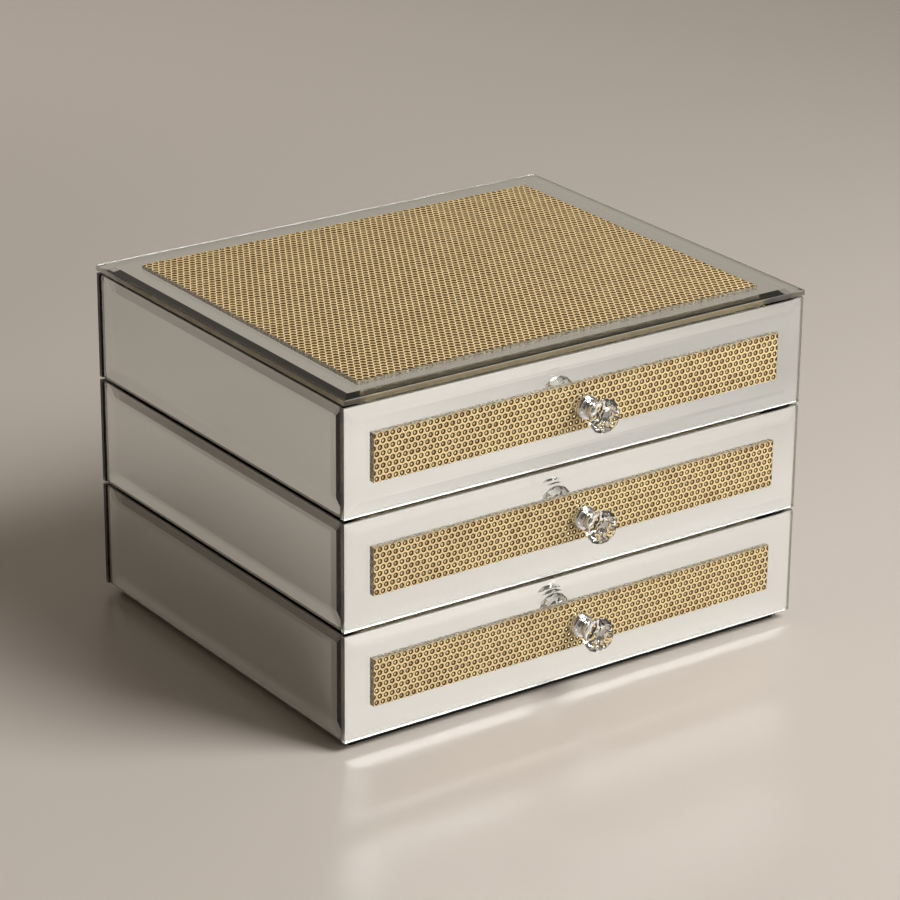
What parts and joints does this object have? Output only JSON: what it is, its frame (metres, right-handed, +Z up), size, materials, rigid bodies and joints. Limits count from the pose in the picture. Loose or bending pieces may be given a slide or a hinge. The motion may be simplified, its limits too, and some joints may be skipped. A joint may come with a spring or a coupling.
{
  "type": "mirrored jewellery box",
  "caption": "Mirrored jewellery box with bevelled glass panels, gold honeycomb inlays and drawers that slide out by faceted crystal knobs.",
  "frame": {"origin": "centre of the underside of the base felt, on the surface that the box stands on", "axes": "+Z up, -Y out of the drawer fronts, +X to the right as seen from the front"},
  "size_m": [0.26, 0.2362, 0.1712],
  "materials": {
    "mirror_glass": "back-silvered float glass with ground and polished bevels",
    "gold_honeycomb": "bright pale-gold honeycomb relief sheet",
    "black_board": "fibreboard, painted matt black",
    "velvet_covered_board": "fibreboard, wrapped in short black velvet",
    "velvet": "short-pile black velvet over a thin pad",
    "black_felt": "pressed felt",
    "polished_chrome": "polished chrome plate",
    "cut_crystal": "clear cut crystal glass, polished facets",
    "zinc_steel": "zinc-plated steel"
  },
  "bodies": {
    "case": {"base_felt": "black_felt", "plinth_board": "black_board", "bottom_board": "black_board", "top_board": "black_board", "back_board": "black_board", "left_side_board": "black_board", "right_side_board": "black_board", "lower_shelf": "black_board", "upper_shelf": "black_board", "top_mirror": "mirror_glass", "top_honeycomb_field": "gold_honeycomb", "top_left_mirror": "mirror_glass", "top_right_mirror": "mirror_glass", "top_back_mirror": "mirror_glass", "middle_left_mirror": "mirror_glass", "middle_right_mirror": "mirror_glass", "middle_back_mirror": "mirror_glass", "bottom_left_mirror": "mirror_glass", "bottom_right_mirror": "mirror_glass", "bottom_back_mirror": "mirror_glass"},
    "top_drawer": {"top_drawer_front_mirror": "mirror_glass", "top_drawer_honeycomb_strip": "gold_honeycomb", "top_drawer_front_board": "velvet_covered_board", "top_drawer_left_wall": "velvet_covered_board", "top_drawer_right_wall": "velvet_covered_board", "top_drawer_rear_wall": "velvet_covered_board", "top_drawer_floor": "black_board", "top_drawer_velvet_pad": "velvet", "top_knob_base": "polished_chrome", "top_knob_crystal": "cut_crystal", "top_knob_screw": "zinc_steel"},
    "middle_drawer": {"middle_drawer_front_mirror": "mirror_glass", "middle_drawer_honeycomb_strip": "gold_honeycomb", "middle_drawer_front_board": "velvet_covered_board", "middle_drawer_left_wall": "velvet_covered_board", "middle_drawer_right_wall": "velvet_covered_board", "middle_drawer_rear_wall": "velvet_covered_board", "middle_drawer_floor": "black_board", "middle_drawer_velvet_pad": "velvet", "middle_knob_base": "polished_chrome", "middle_knob_crystal": "cut_crystal", "middle_knob_screw": "zinc_steel"},
    "bottom_drawer": {"bottom_drawer_front_mirror": "mirror_glass", "bottom_drawer_honeycomb_strip": "gold_honeycomb", "bottom_drawer_front_board": "velvet_covered_board", "bottom_drawer_left_wall": "velvet_covered_board", "bottom_drawer_right_wall": "velvet_covered_board", "bottom_drawer_rear_wall": "velvet_covered_board", "bottom_drawer_floor": "black_board", "bottom_drawer_velvet_pad": "velvet", "bottom_knob_base": "polished_chrome", "bottom_knob_crystal": "cut_crystal", "bottom_knob_screw": "zinc_steel"}
  },
  "joints": [
    {"name": "top_drawer_slide", "type": "slide", "parent": "case", "child": "top_drawer", "axis": [0, -1, 0], "range_m": [0, 0.13]},
    {"name": "middle_drawer_slide", "type": "slide", "parent": "case", "child": "middle_drawer", "axis": [0, -1, 0], "range_m": [0, 0.13]},
    {"name": "bottom_drawer_slide", "type": "slide", "parent": "case", "child": "bottom_drawer", "axis": [0, -1, 0], "range_m": [0, 0.13]}
  ]
}
